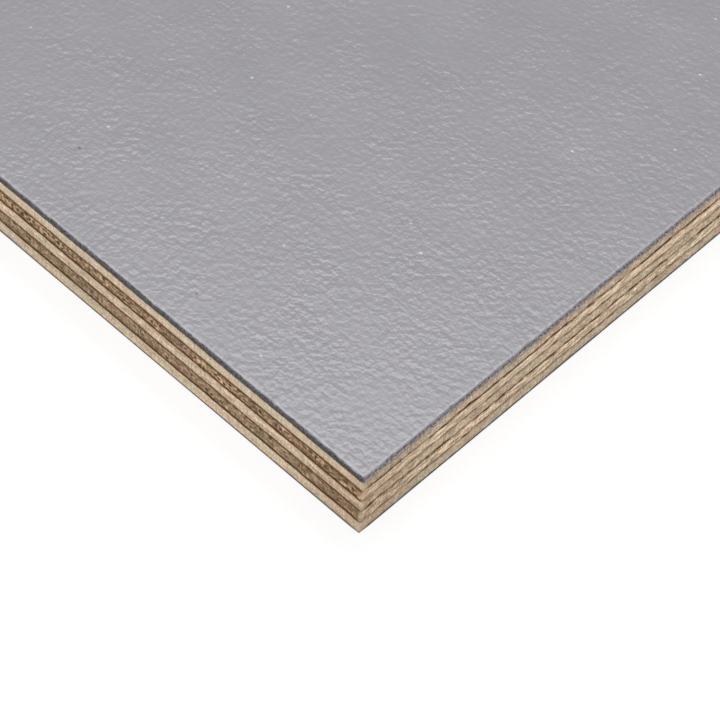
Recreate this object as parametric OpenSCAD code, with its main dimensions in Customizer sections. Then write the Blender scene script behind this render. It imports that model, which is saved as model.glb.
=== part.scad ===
// Laminate-faced birch plywood sheet, lying flat with its grey face up.
// Millimetres. X runs along the grain of the face veneer, Z is up, and the
// origin is at the middle of the underside.

/* [Sheet] */
// Length of the sheet, along the grain of its face veneer
sheet_length = 600; // [200:10:2500]
// Width of the sheet, across the grain of its face veneer
sheet_width = 300; // [100:10:1250]

/* [Laminate] */
// Thickness of the grey plastic laminate on the face
laminate_t = 0.7; // [0.5:0.1:1.5]
// Leg of the filed bevel round the laminate's top edges
laminate_bevel = 0.15; // [0.05:0.05:0.3]

/* [Veneers] */
// Thickness of the face veneer, grain along the length
face_veneer_t = 1.2; // [0.8:0.05:3]
// Thickness of the upper cross veneer, grain across the width
upper_cross_t = 1.25; // [0.8:0.05:3]
// Thickness of the core veneer, grain along the length
core_veneer_t = 1.4; // [0.8:0.05:3]
// Thickness of the lower cross veneer, grain across the width
lower_cross_t = 1.4; // [0.8:0.05:3]
// Thickness of the back veneer, grain along the length
back_veneer_t = 1.35; // [0.8:0.05:3]

/* [Foil] */
// Thickness of the dark balancing foil on the underside
foil_t = 0.2; // [0.1:0.05:0.5]

/* [Hidden] */
// Height of each layer's underside: the lay-up is pressed from the foil upwards
foil_z = 0;
back_z = foil_z + foil_t;
lower_cross_z = back_z + back_veneer_t;
core_z = lower_cross_z + lower_cross_t;
upper_cross_z = core_z + core_veneer_t;
face_z = upper_cross_z + upper_cross_t;
laminate_z = face_z + face_veneer_t;

// Colours of the cut edges and of the faces, as seen
laminate_grey = "#ababb0";
long_grain_tan = "#c7b399";
cross_grain_brown = "#8f785e";
foil_brown = "#4d453d";

// One trimmed layer of the lay-up: every layer is sawn flush at the sheet's edges
module layer(underside, thickness) {
    translate([0, 0, underside])
        linear_extrude(thickness)
            square([sheet_length, sheet_width], center = true);
}

// Cross-section of a plate that lies on the axis, bevelled along both its top edges
module bevelled_section(span, thickness, bevel) {
    half = span / 2;
    polygon([
        [-half, 0],
        [half, 0],
        [half, thickness - bevel],
        [half - bevel, thickness],
        [-half + bevel, thickness],
        [-half, thickness - bevel],
    ]);
}

// Plate with all four top edges bevelled, its bevels mitred where they meet at the corners
module bevelled_plate(length, width, thickness, bevel) {
    intersection() {
        rotate([90, 0, 90])
            linear_extrude(length, center = true)
                bevelled_section(width, thickness, bevel);
        rotate([90, 0, 0])
            linear_extrude(width, center = true)
                bevelled_section(length, thickness, bevel);
    }
}

// Grey decorative laminate, with the saw's arris taken off round the top
module laminate() {
    color(laminate_grey)
        translate([0, 0, laminate_z])
            bevelled_plate(sheet_length, sheet_width, laminate_t, laminate_bevel);
}

module face_veneer() {
    color(long_grain_tan) layer(face_z, face_veneer_t);
}

module upper_cross_veneer() {
    color(cross_grain_brown) layer(upper_cross_z, upper_cross_t);
}

module core_veneer() {
    color(long_grain_tan) layer(core_z, core_veneer_t);
}

module lower_cross_veneer() {
    color(cross_grain_brown) layer(lower_cross_z, lower_cross_t);
}

module back_veneer() {
    color(long_grain_tan) layer(back_z, back_veneer_t);
}

// Thin foil that balances the laminate, so that the sheet stays flat
module backing_foil() {
    color(foil_brown) layer(foil_z, foil_t);
}

laminate();
face_veneer();
upper_cross_veneer();
core_veneer();
lower_cross_veneer();
back_veneer();
backing_foil();
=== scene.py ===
"""Looks of a laminate-faced plywood sheet, dressed over the solids of its frame."""

import math
from dataclasses import dataclass

import bpy
import numpy as np
from mathutils import Matrix, Vector


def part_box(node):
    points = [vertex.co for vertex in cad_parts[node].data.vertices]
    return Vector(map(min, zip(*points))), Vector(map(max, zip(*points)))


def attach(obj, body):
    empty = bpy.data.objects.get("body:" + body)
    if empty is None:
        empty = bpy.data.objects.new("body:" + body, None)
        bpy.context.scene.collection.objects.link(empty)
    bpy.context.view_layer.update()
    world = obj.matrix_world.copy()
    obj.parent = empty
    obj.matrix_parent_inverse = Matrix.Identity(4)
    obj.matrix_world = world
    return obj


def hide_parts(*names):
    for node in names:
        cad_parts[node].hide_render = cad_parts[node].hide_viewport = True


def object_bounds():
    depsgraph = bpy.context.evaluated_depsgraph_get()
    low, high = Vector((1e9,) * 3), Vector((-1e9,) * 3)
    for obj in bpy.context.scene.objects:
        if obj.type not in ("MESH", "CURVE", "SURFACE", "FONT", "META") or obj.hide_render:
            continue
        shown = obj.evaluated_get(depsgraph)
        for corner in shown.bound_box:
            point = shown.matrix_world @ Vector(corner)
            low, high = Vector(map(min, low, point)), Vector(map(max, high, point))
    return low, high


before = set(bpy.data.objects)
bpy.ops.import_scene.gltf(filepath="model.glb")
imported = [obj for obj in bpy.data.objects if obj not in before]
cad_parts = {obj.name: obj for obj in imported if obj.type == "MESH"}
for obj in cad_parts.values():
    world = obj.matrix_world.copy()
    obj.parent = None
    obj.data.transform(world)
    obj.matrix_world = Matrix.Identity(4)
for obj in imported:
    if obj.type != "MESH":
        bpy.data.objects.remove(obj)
cad_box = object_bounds()

# Sizes are in millimetres up to the meshes, which are in metres
MM = 0.001
HALF_LENGTH = cad_box[1].x / MM
HALF_WIDTH = cad_box[1].y / MM
PERIMETER = 4 * (HALF_LENGTH + HALF_WIDTH)

# The lay-up from the floor up
LAYERS = [
    "backing_foil",
    "back_veneer",
    "lower_cross_veneer",
    "core_veneer",
    "upper_cross_veneer",
    "face_veneer",
    "laminate",
]

# Columns of points round the edge. Each ring of a cap has half the columns of the ring outside it.
COLUMN_STEP = 0.25
CAP_LEVELS = 4
CAP_INSETS = (0.6, 1.6, 3.6, 7.6)
EVEN = 2**CAP_LEVELS
COLUMNS_X = EVEN * round(2 * HALF_LENGTH / COLUMN_STEP / EVEN)
COLUMNS_Y = EVEN * round(2 * HALF_WIDTH / COLUMN_STEP / EVEN)
COLUMNS = 2 * (COLUMNS_X + COLUMNS_Y)


def columns_round(level):
    """Side number and place along that side of each column, anticlockwise from the front left corner."""
    count_x = COLUMNS_X >> level
    count_y = COLUMNS_Y >> level
    along_x = np.linspace(-HALF_LENGTH, HALF_LENGTH, count_x, endpoint=False)
    along_y = np.linspace(-HALF_WIDTH, HALF_WIDTH, count_y, endpoint=False)
    side = np.repeat([0, 1, 2, 3], [count_x, count_y, count_x, count_y])
    return side, np.concatenate([along_x, along_y, along_x, along_y])


def ring(level, inset, height):
    """Points round the sheet, at a height and so far in from its edges, which may differ by column."""
    side, along = columns_round(level)
    inset = np.broadcast_to(np.asarray(inset, float), side.shape)
    own_half = np.where(side % 2 == 0, HALF_LENGTH, HALF_WIDTH)
    reach = np.where(side % 2 == 0, HALF_WIDTH, HALF_LENGTH) - inset
    slide = along * (1 - inset.mean() / own_half)
    slide = np.where(along == -own_half, inset - own_half, slide)
    x = np.choose(side, [slide, reach, -slide, -reach])
    y = np.choose(side, [-reach, slide, reach, -slide])
    return np.stack([x, y, np.broadcast_to(height, side.shape)], 1)


SIDE, ALONG = columns_round(0)
OWN_HALF = np.where(SIDE % 2 == 0, HALF_LENGTH, HALF_WIDTH)
AT_CORNER = ALONG == -OWN_HALF
RUN = np.arange(COLUMNS) * PERIMETER / COLUMNS

# 1 on the two ends of the sheet, which are cut across its length, 0 on its long sides
CROSS_CUT = np.where(AT_CORNER, 0.5, SIDE % 2)

# Lengths from a corner within which relief fades out, the tip is worn and hands have darkened the wood
FADE_LENGTH = 1.0
WORN_LENGTH = 0.45
HANDLED_WHOLE = 3.0
HANDLED_FADE = 5.0
FROM_CORNER = OWN_HALF - np.abs(ALONG)
CORNER_FADE = np.clip(FROM_CORNER / FADE_LENGTH, 0, 1)
WORN = np.clip(1 - FROM_CORNER / WORN_LENGTH, 0, 1)
HANDLED = np.clip(1 - (FROM_CORNER - HANDLED_WHOLE) / HANDLED_FADE, 0, 1)


def wander(rng, wavelength):
    """Smooth random values from -1 to 1 round the edge, which turn over such a length."""
    knots = rng.uniform(-1, 1, round(PERIMETER / wavelength))
    place = RUN / PERIMETER * len(knots)
    before = place.astype(int)
    share = place - before
    share = share * share * (3 - 2 * share)
    after = (before + 1) % len(knots)
    return knots[before] * (1 - share) + knots[after] * share


def waves(rng, parts):
    """Sum of random waves round the edge, each given as its size and its wavelength."""
    return sum(size * wander(rng, wavelength) for size, wavelength in parts)


# Least length and depth of a bite, as shares of the greatest
SHORTEST_BITE = 0.3
SHALLOWEST_BITE = 0.25


def bites(rng, spacing, length, depth):
    """Small round-bottomed bites out of the edge, with about such a spacing, as a depth at each column."""
    found = np.zeros(COLUMNS)
    for _ in range(round(PERIMETER / spacing)):
        middle = rng.uniform(0, PERIMETER)
        half = length * rng.uniform(SHORTEST_BITE, 1.0)
        away = np.abs((RUN - middle + PERIMETER / 2) % PERIMETER - PERIMETER / 2)
        bite = depth * rng.uniform(SHALLOWEST_BITE, 1.0) * np.clip(1 - (away / half) ** 2, 0, None)
        found = np.maximum(found, bite)
    return found * CORNER_FADE


# Share of a row of the bake map that stays free under and over the strip in it
MAP_MARGIN = 0.08
# Edges that turn by more than this, in degrees, are shaded as sharp
SHARP_ANGLE = 38
# What a material can read at each point
POINT_VALUES = ("height", "cross_cut", "torn", "worn", "handled", "hidden", "rim")


class Solid:
    """Gathers the rings and faces of one closed piece, with its bake map and what its material reads.

    Each level halves the number of its columns. Its edge lies on the bake map as so many strips, in rows
    from band_low up.
    """

    def __init__(self, level, strips, band_low):
        self.level = level
        self.strips = strips
        self.band_low = band_low
        self.points = []
        self.values = {key: [] for key in POINT_VALUES}
        self.faces = []
        self.map = []
        self.count = 0

    def add(self, points, **values):
        """Adds points, with what the material reads there, and returns the first one's number."""
        first = self.count
        self.points.append(points)
        for name, rows in self.values.items():
            rows.append(np.broadcast_to(np.asarray(values.get(name, 0.0), float), len(points)))
        self.count += len(points)
        return first

    def band(self, rings, thickness):
        """Joins rings of points from the underside up, and lays the strip in rows on the bake map."""
        columns = COLUMNS >> self.level
        here = np.arange(columns)
        after = (here + 1) % columns
        a_row = columns // self.strips
        row_tall = (1 - self.band_low) / self.strips
        row_low = self.band_low + (here // a_row) * row_tall
        left = (here % a_row) / a_row
        right = left + 1 / a_row

        def up_the_row(height):
            return row_low + row_tall * (MAP_MARGIN + (1 - 2 * MAP_MARGIN) * height / thickness)

        for (low, low_height), (high, high_height) in zip(rings, rings[1:]):
            quads = np.stack([low + here, low + after, high + after, high + here], 1)
            self.faces += quads.tolist()
            bottom = up_the_row(low_height)
            top = up_the_row(high_height)
            u = np.stack([left, right, right, left], 1)
            v = np.stack([bottom, bottom, top, top], 1)
            self.map.append(np.stack([u, v], -1).reshape(-1, 2))

    def cap(self, edge, height, value, up, map_box, swell=None):
        """Closes the ring from point edge on: rings of ever fewer columns, then a grid or a flat face."""
        outer = edge
        for level in range(self.level + 1, CAP_LEVELS + 1):
            inset = CAP_INSETS[level - self.level - 1]
            points = ring(level, inset, height)
            if swell is not None:
                points[:, 2] -= swell(points[:, 0], points[:, 1])
            inner = self.add(points, height=value, hidden=float(swell is None))
            count = COLUMNS >> level
            here = np.arange(count)
            after = (here + 1) % count
            double = 2 * count
            fan = [outer + 2 * here, outer + 2 * here + 1, outer + (2 * here + 2) % double]
            self.cap_faces(np.stack([*fan, inner + after, inner + here], 1), up, map_box)
            outer = inner
        if swell is None:
            self.cap_faces(np.arange(outer, outer + (COLUMNS >> CAP_LEVELS))[None], up, map_box)
        else:
            self.grid(outer, height, value, up, map_box, swell)

    def grid(self, edge, height, value, up, map_box, swell):
        """Fills the last ring of a cap with a grid that takes its border from the ring."""
        across = COLUMNS_X >> CAP_LEVELS
        deep = COLUMNS_Y >> CAP_LEVELS
        border = np.concatenate(self.points)[edge : edge + 2 * (across + deep)]
        x = border[: across + 1, 0]
        y = border[across : across + deep + 1, 1]
        inner_x, inner_y = np.meshgrid(x[1:-1], y[1:-1])
        flat = np.stack([inner_x.ravel(), inner_y.ravel()], 1)
        level = height - swell(flat[:, 0], flat[:, 1])
        first = self.add(np.column_stack([flat, level]), height=value)
        number = np.zeros((deep + 1, across + 1), int)
        number[1:-1, 1:-1] = first + np.arange(len(flat)).reshape(deep - 1, across - 1)
        number[0, :-1] = edge + np.arange(across)
        number[:-1, -1] = edge + across + np.arange(deep)
        number[-1, :0:-1] = edge + across + deep + np.arange(across)
        number[:0:-1, 0] = edge + 2 * across + deep + np.arange(deep)
        corners = [number[:-1, :-1], number[:-1, 1:], number[1:, 1:], number[1:, :-1]]
        self.cap_faces(np.stack([c.ravel() for c in corners], 1), up, map_box)

    def cap_faces(self, faces, up, map_box):
        """Adds flat faces, which face up or down, and lays them in a box of the bake map."""
        if not up:
            faces = faces[:, ::-1]
        self.faces += faces.tolist()
        place = np.concatenate(self.points)[faces.ravel(), :2]
        share = place / (2 * HALF_LENGTH, 2 * HALF_WIDTH) + 0.5
        low, high = np.array(map_box[:2]), np.array(map_box[2:])
        self.map.append(low + share * (high - low))

    def build(self, name, material):
        """Makes the mesh, and the piece that stands for the frame's node of that name."""
        mesh = bpy.data.meshes.new(name + "_dressed")
        mesh.from_pydata((np.concatenate(self.points) * MM).tolist(), [], self.faces)
        bake_map = mesh.uv_layers.new(name="OFBake")
        bake_map.uv.foreach_set("vector", np.concatenate(self.map).astype(np.float32).ravel())
        for key, rows in self.values.items():
            layer = mesh.attributes.new(key, "FLOAT", "POINT")
            layer.data.foreach_set("value", np.concatenate(rows).astype(np.float32))
        mesh.shade_smooth()
        mesh.set_sharp_from_angle(angle=math.radians(SHARP_ANGLE))
        mesh.materials.append(material)
        piece = bpy.data.objects.new(name + "_dressed", mesh)
        bpy.context.scene.collection.objects.link(piece)
        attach(piece, "root")
        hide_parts(name)


# Depths of the relief on the sawn edges
SAW_WAVE = 0.02
GROOVE = 0.03
GROOVE_SWING = 0.3
GROOVE_WAVELENGTH = 1.2
CORNER_WEAR = 0.06
TEAR = 0.08
CHIP = 0.05
ARRIS = 0.08

# Random waves of the saw cut and of the joints under and over the veneers
SAW_WAVES = ((0.6, 14), (0.4, 3.5))
FOIL_JOINT_WAVES = ((0.035, 9), (0.025, 4))
LAMINATE_JOINT_WAVES = ((0.03, 4), (0.012, 1.2))
LAMINATE_JOINT_DROP = 0.03

# The four joints between veneers, from the back up: how far each is lifted, and the size of its slow wave
VENEER_JOINTS = ((0.0, 0.065), (0.01, 0.1), (0.0, 0.05), (0.04, 0.12))
JOINT_WAVELENGTH = 14
JOINT_QUIVER = ((0.03, 2.6), (0.014, 0.8))
MORE_ON_ENDS = 0.8

# Seeds of the random draws. A veneer's own seed is its number from the back up.
SHEET_SEED = 7
FOIL_SEED = 19
LAMINATE_SEED = 41


def stray_of_joints(rng):
    """How far each joint between two layers strays from its level along the edge, from the foil's up."""
    stray = [waves(np.random.default_rng(FOIL_SEED), FOIL_JOINT_WAVES)]
    for lift, wave in VENEER_JOINTS:
        quiver = waves(rng, JOINT_QUIVER) * (1 + MORE_ON_ENDS * CROSS_CUT)
        stray.append(lift + wave * wander(rng, JOINT_WAVELENGTH) + quiver)
    stray.append(waves(rng, LAMINATE_JOINT_WAVES) - LAMINATE_JOINT_DROP)
    return stray


sheet_rng = np.random.default_rng(SHEET_SEED)
saw_wave = SAW_WAVE * (1 + waves(sheet_rng, SAW_WAVES)) / 2 * CORNER_FADE
saw_wave += CORNER_WEAR * AT_CORNER
joint_stray = stray_of_joints(sheet_rng)


def levels(name):
    """Underside and top of a layer, in mm."""
    low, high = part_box(name)
    return low.z / MM, high.z / MM


def sides_of(name):
    """How far the joints under and over a layer stray. The sheet's own faces don't."""
    at = LAYERS.index(name)
    under = joint_stray[at - 1] if at else 0.0
    over = joint_stray[at] if at < len(joint_stray) else 0.0
    return under, over


# Rows of a veneer's edge, as shares of its thickness, and where its hidden faces lie on the bake map
VENEER_ROWS = (0.0, 0.07, 0.26, 0.5, 0.74, 0.93, 1.0)
HIDDEN_TOP = (0.0, 0.0, 0.08, 0.035)
HIDDEN_UNDER = (0.1, 0.0, 0.18, 0.035)

# Roughness of a veneer's edge: how far end grain is sunk, and how deep the two kinds of grain are
END_SUNK = 0.02
END_DEPTH = 0.05
LONG_DEPTH = 0.02
END_WAVES = ((0.3, 0.8), (0.2, 0.5))
LONG_WAVES = ((0.35, 7), (0.15, 2))
LONG_SIDE_TEARS = 0.2


def dress_veneer(veneer, material, seed):
    """A veneer with a sawn edge: rough and a little sunk where the grain ends, else streaked."""
    rng = np.random.default_rng(seed)
    low, high = levels(veneer.name)
    thick = high - low
    under, over = sides_of(veneer.name)
    end_grain = CROSS_CUT if veneer.grain == "X" else 1 - CROSS_CUT
    solid = Solid(level=0, strips=40, band_low=0.04)
    rings = []
    for share in VENEER_ROWS:
        rough = 0.5 + waves(rng, END_WAVES)
        streak = 0.5 + waves(rng, LONG_WAVES)
        end_inset = END_SUNK + END_DEPTH * rough
        long_inset = LONG_DEPTH * streak
        inset = saw_wave + CORNER_FADE * (end_grain * end_inset + (1 - end_grain) * long_inset)
        torn = np.zeros(COLUMNS)
        if share in (VENEER_ROWS[1], VENEER_ROWS[-2]):
            torn = bites(rng, spacing=4, length=0.6, depth=TEAR)
            torn = torn * (LONG_SIDE_TEARS + (1 - LONG_SIDE_TEARS) * CROSS_CUT)
        if share in (VENEER_ROWS[0], VENEER_ROWS[-1]):
            swing = 1 - GROOVE_SWING + GROOVE_SWING * wander(rng, GROOVE_WAVELENGTH)
            inset = inset + GROOVE * swing * CORNER_FADE
        stray = under * (1 - share) + over * share
        points = ring(0, inset + torn, low + share * thick + stray)
        looks = {"cross_cut": CROSS_CUT, "torn": torn / TEAR, "worn": WORN, "handled": HANDLED}
        number = solid.add(points, height=share * thick, **looks)
        rings.append((number, share * thick))
    solid.band(rings, thick)
    solid.cap(rings[-1][0], high, thick, True, HIDDEN_TOP)
    solid.cap(rings[0][0], low, 0.0, False, HIDDEN_UNDER)
    solid.build(veneer.name, material)


# Slow waves of the pressed face: depth, then for X and Y the lengths and how far and soon they bend
SWELL = 0.006
SWELL_LENGTHS = (17.0, 13.0)
SWELL_BENDS = (1.3, 1.1)
BEND_LENGTHS = (29.0, 31.0)
SWELL_SHIFT = 2.0


def swell_of_face(x, y):
    """How far the pressed face lies below its highest level, in mm."""
    bend_x = SWELL_BENDS[0] * np.sin(y / BEND_LENGTHS[0])
    bend_y = SWELL_BENDS[1] * np.sin(x / BEND_LENGTHS[1])
    wave_x = np.sin(x / SWELL_LENGTHS[0] + bend_x)
    wave_y = np.sin(y / SWELL_LENGTHS[1] + bend_y + SWELL_SHIFT)
    return SWELL * (2 + wave_x + wave_y) / 2


# Bake map of the laminate and the foil: the visible face, the glued face and the strips above them
SEEN_FACE = (0.0, 0.0, 1.0, 0.5)
GLUED_FACE = (0.0, 0.505, 0.06, 0.535)
STRIPS_FROM = 0.54

# The laminate's cut edge: small waves of its face and arris, top of its glue groove, width of its painted
# highlight rim
CUT_WAVE, CUT_WAVELENGTH = 0.012, 1.1
NIBBLE, NIBBLE_LENGTH = 0.02, 0.6
GROOVE_TOP = 0.05
HIGHLIGHT_RIM_WIDTH = 0.18


def dress_laminate(material):
    """The laminate: a grained face, and a sawn edge whose filed arris is nicked here and there."""
    name = "laminate"
    rng = np.random.default_rng(LAMINATE_SEED)
    low, high = levels(name)
    thick = high - low
    under, _ = sides_of(name)
    chip = bites(rng, spacing=9, length=0.6, depth=CHIP)
    nibble = NIBBLE * (1 + wander(rng, NIBBLE_LENGTH)) * CORNER_FADE
    face = saw_wave + CUT_WAVE * (1 + wander(rng, CUT_WAVELENGTH)) * CORNER_FADE
    top_edge = face + ARRIS + nibble + chip
    # Height, inset and brightness of the painted highlight on the rim, from the glue up: a chip takes more
    # off higher up
    rows = [
        (0.0, face + GROOVE * CORNER_FADE, 1.0),
        (GROOVE_TOP, face, 1.0),
        (thick - ARRIS - 0.5 * chip, face + 0.2 * chip, 1.0),
        (thick - 0.4 * (ARRIS + chip), face + 0.3 * ARRIS + 0.5 * nibble + 0.6 * chip, 1.0),
        (thick, top_edge, 0.8),
        (thick, top_edge + HIGHLIGHT_RIM_WIDTH, 0.0),
    ]
    solid = Solid(level=0, strips=20, band_low=STRIPS_FROM)
    rings = []
    for height, inset, rim in rows:
        height = np.broadcast_to(height, COLUMNS)
        points = ring(0, inset, low + height + under * (1 - height / thick))
        if height[0] == thick:
            points[:, 2] -= swell_of_face(points[:, 0], points[:, 1])
        number = solid.add(points, height=height, cross_cut=CROSS_CUT, rim=rim)
        rings.append((number, height))
    solid.band(rings, thick)
    solid.cap(rings[-1][0], high, thick, True, SEEN_FACE, swell_of_face)
    solid.cap(rings[0][0], low, 0.0, False, GLUED_FACE)
    solid.build(name, material)


# The foil's columns are four times as far apart. Its lower edge is rounded in these rows: share, inset.
FOIL_LEVEL = 2
FOIL_INSET = 0.01
FOIL_ROWS = ((0.0, 0.03), (0.25, 0.0), (1.0, 0.0))


def dress_foil(material):
    """The balancing foil: a thin dark skin, trimmed flush with the back veneer."""
    name = "backing_foil"
    low, high = levels(name)
    thick = high - low
    _, over = sides_of(name)
    step = 2**FOIL_LEVEL
    face = saw_wave[::step] + FOIL_INSET
    solid = Solid(FOIL_LEVEL, strips=10, band_low=STRIPS_FROM)
    rings = []
    for share, extra in FOIL_ROWS:
        points = ring(FOIL_LEVEL, face + extra, low + share * (thick + over[::step]))
        rings.append((solid.add(points), share * thick))
    solid.band(rings, thick)
    solid.cap(rings[-1][0], high, thick, True, GLUED_FACE)
    solid.cap(rings[0][0], low, 0.0, False, SEEN_FACE)
    solid.build(name, material)


def rgb(red, green, blue):
    """A colour as it shows on a screen, from 0 to 255, as the linear one that shaders take, by sRGB."""
    def linear(value):
        share = value / 255
        return share / 12.92 if share <= 0.04045 else ((share + 0.055) / 1.055) ** 2.4
    return (linear(red), linear(green), linear(blue), 1.0)


# Sockets of a Mix node, whose names repeat for each kind of data
MIX_SHARE = 0
MIX_NUMBERS = (2, 3)
MIX_NUMBER = 0
MIX_COLOURS = (6, 7)
MIX_COLOUR = 2


class Graph:
    """Short names for the shader nodes that materials share. A value is a number, colour or socket."""

    def __init__(self, name, shift=(0, 0, 0)):
        self.material = bpy.data.materials.new(name)
        self.material.use_nodes = True
        self.nodes = self.material.node_tree.nodes
        self.links = self.material.node_tree.links
        self.shader = self.nodes["Principled BSDF"]
        self.shift = shift
        self.values = {}

    def put(self, socket, value):
        """Links a socket to a value, or sets it."""
        if isinstance(value, bpy.types.NodeSocket):
            self.links.new(value, socket)
        elif socket.type == "VECTOR":
            socket.default_value = value[:3]
        else:
            socket.default_value = value

    def math(self, operation, *values):
        node = self.nodes.new("ShaderNodeMath")
        node.operation = operation
        for socket, value in zip(node.inputs, values):
            self.put(socket, value)
        return node.outputs[0]

    def plus(self, first, second):
        return self.math("ADD", first, second)

    def minus(self, first, second):
        return self.math("SUBTRACT", first, second)

    def times(self, first, second):
        return self.math("MULTIPLY", first, second)

    def place(self, sizes, turn=0.0, shift=None):
        """Object coordinates in which a feature of such sizes, in mm along X, Y and Z, is one unit."""
        coordinates = self.nodes.new("ShaderNodeTexCoord")
        node = self.nodes.new("ShaderNodeMapping")
        node.vector_type = "TEXTURE"
        self.links.new(coordinates.outputs["Object"], node.inputs["Vector"])
        node.inputs["Location"].default_value = [s * MM for s in shift or self.shift]
        node.inputs["Rotation"].default_value = (0, 0, math.radians(turn))
        node.inputs["Scale"].default_value = [s * MM for s in sizes]
        return node.outputs[0]

    def noise(self, place, detail=2.0, roughness=0.5):
        node = self.nodes.new("ShaderNodeTexNoise")
        self.links.new(place, node.inputs["Vector"])
        node.inputs["Scale"].default_value = 1.0
        node.inputs["Detail"].default_value = detail
        node.inputs["Roughness"].default_value = roughness
        return node.outputs["Fac"]

    def cells(self, place, first, second):
        """Distance from the nearest of many points strewn over a plane, and a random number for each."""
        apart = self.nodes.new("ShaderNodeSeparateXYZ")
        self.links.new(place, apart.inputs[0])
        plane = self.nodes.new("ShaderNodeCombineXYZ")
        self.links.new(apart.outputs[first], plane.inputs["X"])
        self.links.new(apart.outputs[second], plane.inputs["Y"])
        node = self.nodes.new("ShaderNodeTexVoronoi")
        node.voronoi_dimensions = "2D"
        self.links.new(plane.outputs[0], node.inputs["Vector"])
        node.inputs["Scale"].default_value = 1.0
        lot = self.nodes.new("ShaderNodeSeparateColor")
        self.links.new(node.outputs["Color"], lot.inputs[0])
        return node.outputs["Distance"], lot.outputs[0]

    def rise(self, value, low, high):
        """0 below low, 1 above high and a smooth step between them; low may be the larger."""
        node = self.nodes.new("ShaderNodeMapRange")
        node.interpolation_type = "SMOOTHSTEP"
        self.put(node.inputs["Value"], value)
        self.put(node.inputs["From Min"], low)
        self.put(node.inputs["From Max"], high)
        return node.outputs["Result"]

    def between(self, share, first, second):
        """A number that goes from first to second."""
        node = self.nodes.new("ShaderNodeMix")
        self.put(node.inputs[MIX_SHARE], share)
        for socket, value in zip(MIX_NUMBERS, (first, second)):
            self.put(node.inputs[socket], value)
        return node.outputs[MIX_NUMBER]

    def sway(self, noise, reach):
        """A number that sways so far about 0 with a noise."""
        return self.between(noise, -reach, reach)

    def swing(self, noise, amount):
        """A factor that swings so far about 1 with a noise."""
        return self.between(noise, 1 - amount, 1 + amount)

    def mix(self, share, first, second, blend="MIX"):
        """A colour that goes from first to second."""
        node = self.nodes.new("ShaderNodeMix")
        node.data_type = "RGBA"
        node.blend_type = blend
        self.put(node.inputs[MIX_SHARE], share)
        for socket, value in zip(MIX_COLOURS, (first, second)):
            self.put(node.inputs[socket], value)
        return node.outputs[MIX_COLOUR]

    def shade(self, colour, light):
        """A colour times a number."""
        node = self.nodes.new("ShaderNodeVectorMath")
        node.operation = "SCALE"
        self.put(node.inputs[0], colour)
        self.put(node.inputs["Scale"], light)
        return node.outputs[0]

    def value_of(self, name):
        """What the mesh says at a point."""
        if name not in self.values:
            node = self.nodes.new("ShaderNodeAttribute")
            node.attribute_name = name
            self.values[name] = node.outputs["Fac"]
        return self.values[name]

    def bump(self, height, deep):
        """A normal from a height between 0 and 1, where 1 stands so many mm above 0."""
        node = self.nodes.new("ShaderNodeBump")
        node.inputs["Distance"].default_value = deep * MM
        self.put(node.inputs["Height"], height)
        return node.outputs[0]

    def finish(self, colour, roughness, normal, specular):
        self.put(self.shader.inputs["Base Color"], colour)
        self.put(self.shader.inputs["Roughness"], roughness)
        self.links.new(normal, self.shader.inputs["Normal"])
        self.shader.inputs["Specular IOR Level"].default_value = specular
        return self.material


GLUE_BROWN = rgb(84, 53, 18)
PORE_BROWN = rgb(52, 34, 20)
LAMINATE_DUST = rgb(112, 110, 113)
RESIN_BLACK = rgb(56, 45, 38)
FOIL_BROWN = rgb(70, 62, 54)
FOIL_PALE = rgb(88, 79, 69)

# Tints that multiply the wood's colour
ROSY = (1.035, 0.982, 0.98, 1.0)
OLIVE = (0.98, 1.006, 0.985, 1.0)
HAND_TINT = (0.87, 0.83, 0.8, 1.0)

# Marks in the wood, with their sizes along the fibres, across them and up
FINE_FIBRE = (4.0, 0.36, 0.26)
STREAK = (1.3, 0.36, 0.26)
BROAD_BAND = (24.0, 1.3, 0.6)
PORE_SIZE = 0.55
FLECK_SIZE = 0.5

# Spots on end grain: height by width, radius in a cell, soft edge of the choice, and how far they group
SPOT_TALL = 0.9
SPOT_RADIUS = 0.4
SPOT_CHOICE_EDGE = 0.05
SPOT_GROUPING = 1.1

# Marks that don't follow the fibres, with their sizes along X, Y and Z
GRIT = (0.12, 0.12, 0.17)
SAW_MARK = (0.2, 0.2, 2.0)
TINT_PATCH = (3.2, 3.2, 1.2)
GLUE_WOBBLE = (0.5, 0.5, 0.4)
GLUE_GAP = (0.9, 0.9, 0.5)

# Values of a noise between which its pattern turns from dark to pale
STREAK_EDGES = (0.38, 0.62)
FIBRE_EDGES = (0.36, 0.64)
TINT_EDGES = (0.35, 0.65)
GAP_EDGES = (0.4, 0.56)

# How strongly marks show on the wood, and for pores where the fibres run along an edge and where they end
BAND_SWING = 0.4
GRIT_SWING = 0.5
FLECK_SHARE = 0.5
PORE_SHARES = (0.1, 0.85)
WORN_SHARE = 0.3
# Tear-outs darken partly for their darker fibres and partly as painted shade in their pits
TORN_DARK_AND_SHADE_SHARE = 0.6
SAW_RELIEF = 0.5
WOOD_ROUGHNESS = (0.75, 0.9)

# Glue at a joint: half width of its line, the whole part of that, how far it sways, and how strong it is
GLUE_WIDTH = 0.2
GLUE_CORE = 0.2
GLUE_SWAY = 0.08
GLUE_SHARE = 0.95
DASH_SHARES = (0.25, 1.0)

# How far and how strongly glue soaks in from a joint, and sinks into the end grain below one
SOAK_REACH = 2.2 * GLUE_WIDTH
SOAK_SHARE = 0.12
SUNK_REACH = 0.5
SUNK_SHARE = 0.33

# What the saw rubs onto the outer veneers from the layer beside them: how far from it this starts and is
# whole, and how strong it is on the long sides and on the ends
FOIL_RUB_REACH = (0.16, 0.0)
FOIL_RUB_SHARES = (0.55, 0.0)
DUST_REACH = (0.6, -0.1)
DUST_SHARES = (0.2, 0.6)
RESIN_REACH = (0.12, -0.03)
RESIN_SHARES = (0.9, 0.2)
RESIN_SWAY = 0.1

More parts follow.
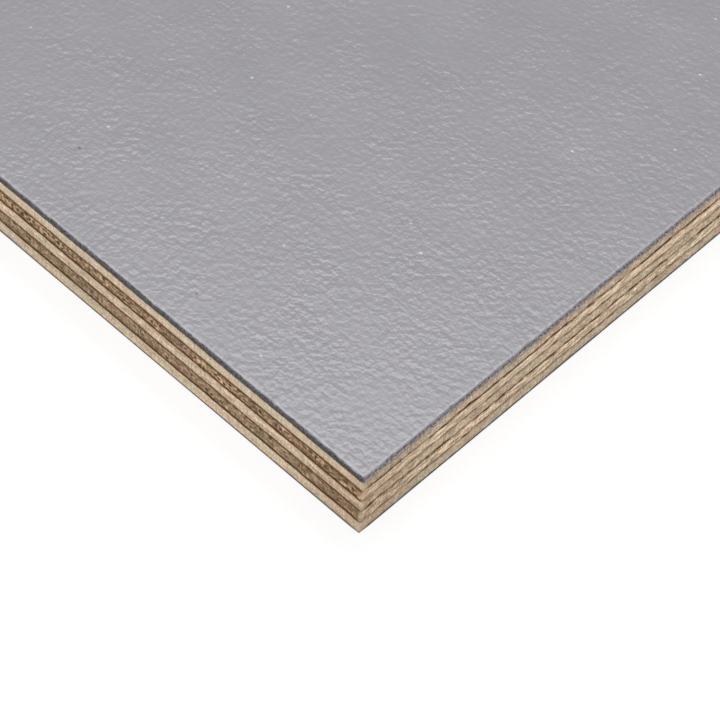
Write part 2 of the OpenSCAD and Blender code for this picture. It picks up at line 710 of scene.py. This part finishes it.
# How far each veneer's marks are moved, in mm for each step of its seed, so that no two are alike
SEED_SHIFT = (13.7, 7.3, 3.1)
VENEER_RELIEF = 0.03


@dataclass
class Veneer:
    """One ply: which way its grain runs, and its colours where that runs along an edge and where it ends.

    Pores and flecks say how common these are on end grain; saw, streaks and blotches how strong they are.
    Glued says where its glue lines show, and glue is half their width on the long sides.
    """

    name: str
    grain: str
    slot: str
    side: tuple
    end_pale: tuple
    end_dark: tuple
    pores: float
    flecks: float
    saw: float
    streaks: float
    blotches: float
    glued: str = "both"
    glue: float = GLUE_WIDTH


LONG = ("X", "long_grain_veneer")
CROSS = ("Y", "cross_grain_veneer")
VENEERS = [
    Veneer(
        "back_veneer", *LONG,
        side=rgb(213, 194, 169), end_pale=rgb(198, 180, 158), end_dark=rgb(170, 153, 131),
        pores=0, flecks=0.1, saw=0.2, streaks=0.12, blotches=0.4, glued="over",
    ),
    Veneer(
        "lower_cross_veneer", *CROSS,
        side=rgb(223, 201, 173), end_pale=rgb(169, 146, 119), end_dark=rgb(119, 98, 74),
        pores=0.15, flecks=0.1, saw=0.5, streaks=0.56, blotches=0.9,
    ),
    Veneer(
        "core_veneer", *LONG,
        side=rgb(219, 197, 170), end_pale=rgb(197, 179, 155), end_dark=rgb(164, 146, 122),
        pores=0, flecks=0.15, saw=0.3, streaks=0.32, blotches=0.6,
    ),
    Veneer(
        "upper_cross_veneer", *CROSS,
        side=rgb(227, 204, 176), end_pale=rgb(186, 158, 127), end_dark=rgb(120, 94, 69),
        pores=0.36, flecks=0.15, saw=0.25, streaks=0.48, blotches=1.2,
    ),
    Veneer(
        "face_veneer", *LONG,
        side=rgb(220, 200, 174), end_pale=rgb(191, 172, 152), end_dark=rgb(162, 144, 124),
        pores=0, flecks=0.1, saw=0.35, streaks=0.12, blotches=0.5, glued="under", glue=0.34,
    ),
]


def end_grain_of(g, veneer):
    """1 where the fibres end at the edge, 0 where they run along it."""
    cross_cut = g.value_of("cross_cut")
    return cross_cut if veneer.grain == "X" else g.minus(1.0, cross_cut)


def along_fibres(g, veneer, sizes):
    """Coordinates for marks with such sizes along the fibres, across them and up."""
    along, across, tall = sizes
    return g.place((along, across, tall) if veneer.grain == "X" else (across, along, tall))


def spots(g, veneer, broad, size, share):
    """Spots strewn over the ends of the fibres, such a share of those there could be, some in groups."""
    place = along_fibres(g, veneer, (1.0, size, SPOT_TALL * size))
    far, lot = g.cells(place, "Y" if veneer.grain == "X" else "X", "Z")
    lot = g.plus(lot, g.sway(broad, SPOT_GROUPING))
    chosen = g.rise(lot, 1 - share, 1 - share + SPOT_CHOICE_EDGE)
    return g.times(g.rise(far, SPOT_RADIUS, 0.5 * SPOT_RADIUS), chosen)


def bare_wood(g, veneer):
    """Colour, roughness and relief of sawn birch: fibres make streaks on a side and specks on an end."""
    end = end_grain_of(g, veneer)
    fine = g.noise(along_fibres(g, veneer, FINE_FIBRE), detail=1.5, roughness=0.6)
    streak = g.noise(along_fibres(g, veneer, STREAK), detail=3.0)
    broad = g.noise(along_fibres(g, veneer, BROAD_BAND), detail=3.0)
    grit = g.noise(g.place(GRIT), detail=0.0)
    saw = g.noise(g.place(SAW_MARK), detail=1.0)
    tint = g.noise(g.place(TINT_PATCH), detail=2.0)
    pore = spots(g, veneer, broad, PORE_SIZE, veneer.pores) if veneer.pores else 0.0
    fleck = spots(g, veneer, broad, FLECK_SIZE, veneer.flecks)

    side_dark = g.shade(veneer.side, 1 - veneer.streaks)
    side = g.mix(g.rise(streak, *STREAK_EDGES), side_dark, veneer.side)
    side = g.shade(side, g.swing(broad, BAND_SWING))
    cut = g.mix(g.rise(fine, *FIBRE_EDGES), veneer.end_dark, veneer.end_pale)
    cut = g.shade(cut, g.swing(broad, veneer.blotches))
    cut = g.mix(g.times(fleck, FLECK_SHARE), cut, veneer.side)
    wood = g.mix(end, side, cut)
    wood = g.shade(wood, g.swing(saw, veneer.saw))
    wood = g.shade(wood, g.swing(grit, GRIT_SWING))
    wood = g.mix(1.0, wood, g.mix(g.rise(tint, *TINT_EDGES), ROSY, OLIVE), blend="MULTIPLY")
    wood = g.mix(g.times(pore, g.between(end, *PORE_SHARES)), wood, PORE_BROWN)
    wood = g.mix(g.times(g.value_of("worn"), WORN_SHARE), wood, veneer.side)
    wood = g.mix(g.value_of("handled"), wood, HAND_TINT, blend="MULTIPLY")
    relief = g.minus(g.plus(fine, g.times(saw, SAW_RELIEF)), pore)
    return wood, g.between(fine, *WOOD_ROUGHNESS), relief


def glued_wood(g, veneer, wood, from_top):
    """The wood with its glue lines, which are broken on the ends, and with glue soaked in from them."""
    cross_cut = g.value_of("cross_cut")
    height = g.value_of("height")
    if veneer.glued == "over":
        from_joint = from_top
    elif veneer.glued == "under":
        from_joint = height
    else:
        from_joint = g.math("MINIMUM", height, from_top)
    wobble = g.noise(g.place(GLUE_WOBBLE), detail=2.0)
    from_joint = g.plus(from_joint, g.sway(wobble, GLUE_SWAY))
    width = g.between(cross_cut, veneer.glue, GLUE_WIDTH)
    line = g.rise(from_joint, width, g.times(width, GLUE_CORE))
    gaps = g.noise(g.place(GLUE_GAP), detail=2.0)
    dashes = g.between(g.rise(gaps, *GAP_EDGES), *DASH_SHARES)
    dashes = g.times(dashes, g.minus(1.0, g.value_of("worn")))
    line = g.times(line, g.between(cross_cut, GLUE_SHARE, dashes))
    soak = g.times(g.rise(from_joint, SOAK_REACH, 0.0), SOAK_SHARE)
    wood = g.mix(soak, wood, GLUE_BROWN)
    if veneer.glued != "under":
        sunk = g.times(end_grain_of(g, veneer), SUNK_SHARE)
        wood = g.mix(g.times(g.rise(from_top, SUNK_REACH, 0.0), sunk), wood, GLUE_BROWN)
    wood = g.mix(line, wood, GLUE_BROWN)
    # Tear-outs: darker fibres, plus painted shade in the pits
    return g.mix(g.times(g.value_of("torn"), TORN_DARK_AND_SHADE_SHARE), wood, GLUE_BROWN)


def soiled_wood(g, veneer, wood, from_top):
    """The wood with what the saw has rubbed onto it from the foil or the laminate beside it."""
    cross_cut = g.value_of("cross_cut")
    if veneer.glued == "over":
        rubbed = g.rise(g.value_of("height"), *FOIL_RUB_REACH)
        return g.mix(g.times(rubbed, g.between(cross_cut, *FOIL_RUB_SHARES)), wood, FOIL_BROWN)
    if veneer.glued == "under":
        dust = g.rise(from_top, *DUST_REACH)
        wood = g.mix(g.times(dust, g.between(cross_cut, *DUST_SHARES)), wood, LAMINATE_DUST)
        wobble = g.noise(g.place(GLUE_WOBBLE), detail=2.0)
        resin = g.rise(g.plus(from_top, g.sway(wobble, RESIN_SWAY)), *RESIN_REACH)
        return g.mix(g.times(resin, g.between(cross_cut, *RESIN_SHARES)), wood, RESIN_BLACK)
    return wood


def veneer_material(veneer, thick, seed):
    """Sawn birch with glue along its joints."""
    g = Graph(veneer.name + "_birch", shift=[seed * step for step in SEED_SHIFT])
    from_top = g.minus(thick, g.value_of("height"))
    wood, roughness, relief = bare_wood(g, veneer)
    wood = glued_wood(g, veneer, wood, from_top)
    wood = soiled_wood(g, veneer, wood, from_top)
    wood = g.mix(g.value_of("hidden"), wood, GLUE_BROWN)
    return g.finish(wood, roughness, g.bump(relief, VENEER_RELIEF), specular=0.2)


LAMINATE_GREY = rgb(141, 139, 145)
SPECK_GREY = rgb(60, 60, 64)
PAINTED_GLINT_WHITE = rgb(225, 225, 228)
# Painted highlight on the filed bevel and the rim round the top, which miss the face's sheen
RIM_PAINTED_HIGHLIGHT = rgb(196, 197, 203)
CORE_LOW = rgb(30, 22, 16)
CORE_HIGH = rgb(88, 85, 86)
SMEAR_LOW = rgb(166, 152, 140)
SMEAR_HIGH = rgb(102, 97, 99)

# Marks of the laminate's face and of its cut edge, with their sizes along X, Y and Z
PEBBLE = (0.52, 0.5, 0.5)
RIPPLE = (1.0, 0.9, 0.9)
GRAIN_PATCH = (4.0, 3.0, 3.0)
CLOUD = (6.0, 5.0, 5.0)
BROAD_SHADE = (70.0, 45.0, 40.0)
SPECK_SPACING = (22.0, 22.0, 22.0)
GLINT_SPACING = (9.0, 7.0, 7.0)
RAGGED = (0.34, 0.34, 0.3)
UNEVEN = (1.6, 1.6, 0.8)
CUT_GRAIN = (0.24, 0.24, 0.2)

# Relief of the face: depth, share of the ripple, mean of the sum, and strength from patch to patch
GRAIN_DEPTH = 0.056
RIPPLE_SHARE = 0.45
GRAIN_MEAN = 0.72
GRAIN_STRENGTH = (0.65, 1.15)
PATCH_EDGES = (0.32, 0.68)

# How strongly the face is clouded and shaded
CLOUD_SWING = 0.07
SHADE_SWAY = 0.05

# Specks and glints on the face: radius where one starts and is whole, as a share of their spacing,
# which of those there could be are chosen, and how strong they are
SPECK_RADIUS = (0.008, 0.003)
SPECK_CHOICE = (0.5, 0.52)
SPECK_SHARE = 0.7
# The glints are painted highlights in the face's colour
GLINT_RADIUS = (0.022, 0.006)
GLINT_CHOICE = (0.55, 0.75)
GLINT_SHARE = 0.55

# The grey skin on the cut edge: how far its level sways, and where it starts and is whole, in mm above the
# top, on the long sides and on the ends. The top itself always has it.
RAGGED_SWAY = 0.08
UNEVEN_SWAY = 0.12
SKIN_START = (-0.12, -0.2)
SKIN_WHOLE = (0.06, 0.13)
SKIN_ON_TOP = (-0.03, -0.003)

# The cut edge under the skin, and the painted highlight on the rim round the top: on the long sides and
# the ends, and uneven
SMEAR_EDGES = (-0.2, 0.5)
CUT_GRAIN_EDGES = (0.3, 0.7)
CUT_GRAIN_SWING = 0.85
RIM_HIGHLIGHT_SHARES = (0.75, 0.5)
RIM_HIGHLIGHT_EDGES = (0.3, 0.6)
RIM_HIGHLIGHT_UNEVEN = (0.28, 0.66)
CUT_ROUGHNESS = 0.75
FACE_ROUGHNESS = (0.28, 0.34)


def laminate_grain(g):
    """Relief of the pebbled face, stronger in some patches than in others."""
    pebble = g.noise(g.place(PEBBLE, turn=3), detail=1.0)
    ripple = g.noise(g.place(RIPPLE, turn=10, shift=(31, 17, 0)), detail=0.0)
    patch = g.noise(g.place(GRAIN_PATCH, turn=20, shift=(11, 5, 0)), detail=2.0)
    strength = g.between(g.rise(patch, *PATCH_EDGES), *GRAIN_STRENGTH)
    relief = g.minus(g.plus(pebble, g.times(ripple, RIPPLE_SHARE)), GRAIN_MEAN)
    return g.bump(g.times(relief, strength), GRAIN_DEPTH)


def laminate_face(g, cloud):
    """Grey of the face, a little clouded, with a few dark specks and painted glints of light."""
    broad = g.noise(g.place(BROAD_SHADE), detail=3.0)
    grey = g.shade(LAMINATE_GREY, g.plus(g.swing(cloud, CLOUD_SWING), g.sway(broad, SHADE_SWAY)))
    far, lot = g.cells(g.place(SPECK_SPACING), "X", "Y")
    speck = g.times(g.rise(far, *SPECK_RADIUS), g.rise(lot, *SPECK_CHOICE))
    grey = g.mix(g.times(speck, SPECK_SHARE), grey, SPECK_GREY)
    far, lot = g.cells(g.place(GLINT_SPACING, turn=30, shift=(3, 5, 0)), "X", "Y")
    glint = g.times(g.rise(far, *GLINT_RADIUS), g.rise(lot, *GLINT_CHOICE))
    return g.mix(g.times(glint, GLINT_SHARE), grey, PAINTED_GLINT_WHITE)


def laminate_cut(g, stray, thick):
    """Colour of the cut edge: a dark core on the long sides, smeared with wood dust on the ends."""
    share_up = g.math("DIVIDE", stray, thick)
    core = g.mix(share_up, CORE_LOW, CORE_HIGH)
    smear = g.mix(g.rise(share_up, *SMEAR_EDGES), SMEAR_LOW, SMEAR_HIGH)
    edge = g.mix(g.value_of("cross_cut"), core, smear)
    grains = g.noise(g.place(CUT_GRAIN), detail=1.0)
    return g.shade(edge, g.swing(g.rise(grains, *CUT_GRAIN_EDGES), CUT_GRAIN_SWING))


def laminate_material(thick):
    """Grey laminate: a softly pebbled satin face on a dark core that shows where it is cut."""
    g = Graph("laminate_grey")
    height = g.value_of("height")
    cross_cut = g.value_of("cross_cut")
    cloud = g.noise(g.place(CLOUD, turn=20), detail=3.0)
    ragged = g.noise(g.place(RAGGED), detail=2.0)
    uneven = g.noise(g.place(UNEVEN), detail=2.0)

    # The grey skin starts just under the top, at a height that strays along the edge
    stray = g.plus(g.plus(height, g.sway(ragged, RAGGED_SWAY)), g.sway(uneven, UNEVEN_SWAY))
    skin_start = g.between(cross_cut, *(thick + above for above in SKIN_START))
    skin_whole = g.between(cross_cut, *(thick + above for above in SKIN_WHOLE))
    skin = g.rise(stray, skin_start, skin_whole)
    on_top = g.rise(height, *(thick + above for above in SKIN_ON_TOP))
    skin = g.math("MAXIMUM", skin, on_top)

    # Painted highlight: the rim and bevel round the top are lightened towards a pale grey
    rim = g.times(g.value_of("rim"), g.between(cross_cut, *RIM_HIGHLIGHT_SHARES))
    rim = g.times(rim, g.between(g.rise(uneven, *RIM_HIGHLIGHT_EDGES), *RIM_HIGHLIGHT_UNEVEN))
    face = g.mix(rim, laminate_face(g, cloud), RIM_PAINTED_HIGHLIGHT)
    colour = g.mix(skin, laminate_cut(g, stray, thick), face)
    roughness = g.between(skin, CUT_ROUGHNESS, g.between(cloud, *FACE_ROUGHNESS))
    return g.finish(colour, roughness, laminate_grain(g), specular=0.5)


# Marks of the foil, with their sizes along X, Y and Z
FOIL_GRAIN = (45.0, 1.2, 1.0)
FOIL_CLOUD = (60.0, 40.0, 20.0)
FOIL_RELIEF = 0.01
FOIL_SWING = 0.15
FOIL_ROUGHNESS = (0.35, 0.5)


def foil_material():
    """Dark resin-soaked paper, smooth, with the veneer's grain showing faintly through."""
    g = Graph("foil_dark")
    grain = g.noise(g.place(FOIL_GRAIN), detail=3.0)
    cloud = g.noise(g.place(FOIL_CLOUD), detail=3.0)
    colour = g.shade(g.mix(grain, FOIL_BROWN, FOIL_PALE), g.swing(cloud, FOIL_SWING))
    roughness = g.between(cloud, *FOIL_ROUGHNESS)
    return g.finish(colour, roughness, g.bump(grain, FOIL_RELIEF), specular=0.4)


def dress_sheet():
    """Every layer of the sheet, from the foil up."""
    dress_foil(foil_material())
    for seed, veneer in enumerate(VENEERS, start=1):
        low, high = levels(veneer.name)
        dress_veneer(veneer, veneer_material(veneer, high - low, seed), seed)
    low, high = levels("laminate")
    dress_laminate(laminate_material(high - low))


# The camera looks down on the front right corner, whose pixel counts from the middle of a square picture,
# to the right and up. Depth is in mm and angles are in degrees.
PICTURE = 720
FOCAL_PIXELS = 2504.3
CORNER_PIXEL = (3.937, -118.70)
CORNER_DEPTH = 185.3
AZIMUTH = 40.44
ELEVATION = 52.48
ROLL = 4.77
SENSOR = 36.0
CLIP_START = 10.0


def place_camera():
    """A camera that sees the front right corner of the grey face at its pixel."""
    a, e, r = (math.radians(x) for x in (AZIMUTH, ELEVATION, ROLL))
    level_right = Vector((math.cos(a), math.sin(a), 0))
    back = Vector((math.sin(a) * math.cos(e), -math.cos(a) * math.cos(e), math.sin(e)))
    level_up = back.cross(level_right)
    right = math.cos(r) * level_right + math.sin(r) * level_up
    up = math.cos(r) * level_up - math.sin(r) * level_right
    corner = Vector((cad_box[1].x, cad_box[0].y, cad_box[1].z))
    depth = CORNER_DEPTH * MM
    aside = right * (CORNER_PIXEL[0] * depth / FOCAL_PIXELS)
    above = up * (CORNER_PIXEL[1] * depth / FOCAL_PIXELS)
    data = bpy.data.cameras.new("camera")
    data.sensor_width = SENSOR
    data.lens = FOCAL_PIXELS / PICTURE * SENSOR
    data.clip_start = CLIP_START * MM
    camera = bpy.data.objects.new("camera", data)
    place = corner - aside - above + back * depth
    turn = Matrix((right, up, back)).transposed().to_4x4()
    camera.matrix_world = Matrix.Translation(place) @ turn
    bpy.context.scene.collection.objects.link(camera)
    bpy.context.scene.camera = camera


def seen_rays(nodes, links):
    """1 for rays that show a surface to the eye: straight, by reflection or through glass."""
    path = nodes.new("ShaderNodeLightPath")
    total = path.outputs["Is Camera Ray"]
    for other in ("Is Glossy Ray", "Is Transmission Ray"):
        node = nodes.new("ShaderNodeMath")
        node.operation = "MAXIMUM"
        links.new(total, node.inputs[0])
        links.new(path.outputs[other], node.inputs[1])
        total = node.outputs[0]
    return total


# The floor's half side and its drop below the sheet, in metres, and how bright it is
FLOOR_REACH = 30.0
FLOOR_DROP = 0.00002
FLOOR_WHITE = 0.85
FLOOR_SHADE = 0.22
FLOOR_GLOW = 0.83
FLOOR_ROUGHNESS = 0.9


def lay_floor():
    """A white floor, lifted to white where it is seen, which keeps the sheet's shadow."""
    mesh = bpy.data.meshes.new("floor")
    r = FLOOR_REACH
    mesh.from_pydata([(-r, -r, 0), (r, -r, 0), (r, r, 0), (-r, r, 0)], [], [(0, 1, 2, 3)])
    floor = bpy.data.objects.new("floor", mesh)
    bpy.context.scene.collection.objects.link(floor)
    floor.location.z = -FLOOR_DROP
    material = bpy.data.materials.new("floor_white")
    material.use_nodes = True
    nodes = material.node_tree.nodes
    links = material.node_tree.links
    shader = nodes["Principled BSDF"]
    seen = seen_rays(nodes, links)
    shade = nodes.new("ShaderNodeMix")
    shade.data_type = "RGBA"
    links.new(seen, shade.inputs[MIX_SHARE])
    for socket, grey in zip(MIX_COLOURS, (FLOOR_WHITE, FLOOR_SHADE)):
        shade.inputs[socket].default_value = (grey, grey, grey, 1)
    links.new(shade.outputs[MIX_COLOUR], shader.inputs["Base Color"])
    shader.inputs["Roughness"].default_value = FLOOR_ROUGHNESS
    shader.inputs["Specular IOR Level"].default_value = 0.0
    shader.inputs["Emission Color"].default_value = (1, 1, 1, 1)
    glow = nodes.new("ShaderNodeMath")
    glow.operation = "MULTIPLY"
    links.new(seen, glow.inputs[0])
    glow.inputs[1].default_value = FLOOR_GLOW
    links.new(glow.outputs[0], shader.inputs["Emission Strength"])
    mesh.materials.append(material)


WORLD_LIGHT = 0.55
WORLD_SEEN = 1.0


def light_world():
    """Even studio light from all round, seen as white."""
    world = bpy.data.worlds.new("studio")
    bpy.context.scene.world = world
    world.use_nodes = True
    nodes = world.node_tree.nodes
    links = world.node_tree.links
    strength = nodes.new("ShaderNodeMix")
    for socket, light in zip(MIX_NUMBERS, (WORLD_LIGHT, WORLD_SEEN)):
        strength.inputs[socket].default_value = light
    links.new(seen_rays(nodes, links), strength.inputs[MIX_SHARE])
    links.new(strength.outputs[MIX_NUMBER], nodes["Background"].inputs["Strength"])
    nodes["Background"].inputs["Color"].default_value = (1, 1, 1, 1)


def soft_box(name, target, azimuth, elevation, distance, size, power):
    """A soft light, so wide and so deep in metres, that faces a target. Its azimuth counts from +X."""
    a, e = math.radians(azimuth), math.radians(elevation)
    toward = Vector((math.cos(a) * math.cos(e), math.sin(a) * math.cos(e), math.sin(e)))
    data = bpy.data.lights.new(name, "AREA")
    data.shape = "RECTANGLE"
    data.size, data.size_y = size
    data.energy = power
    lamp = bpy.data.objects.new(name, data)
    lamp.location = Vector(target) + distance * toward
    lamp.rotation_euler = (-toward).to_track_quat("-Z", "Y").to_euler()
    bpy.context.scene.collection.objects.link(lamp)
    return lamp


def light_studio():
    """A light from behind that puts a sheen on the face, and one in front that isn't mirrored in it."""
    light_world()
    corner = (cad_box[1].x, cad_box[0].y, 0.0)
    middle = (0.0, 0.0, 0.0)
    soft_box(
        "soft_box_over", corner,
        azimuth=130.5, elevation=63.0, distance=1.4, size=(0.8, 0.3), power=7.7,
    )
    front = soft_box(
        "soft_box_front", middle,
        azimuth=-41.4, elevation=21.65, distance=2.44, size=(1.2, 1.2), power=22.0,
    )
    front.visible_glossy = False


bpy.context.scene.view_settings.view_transform = "Standard"
place_camera()
light_studio()
lay_floor()
dress_sheet()
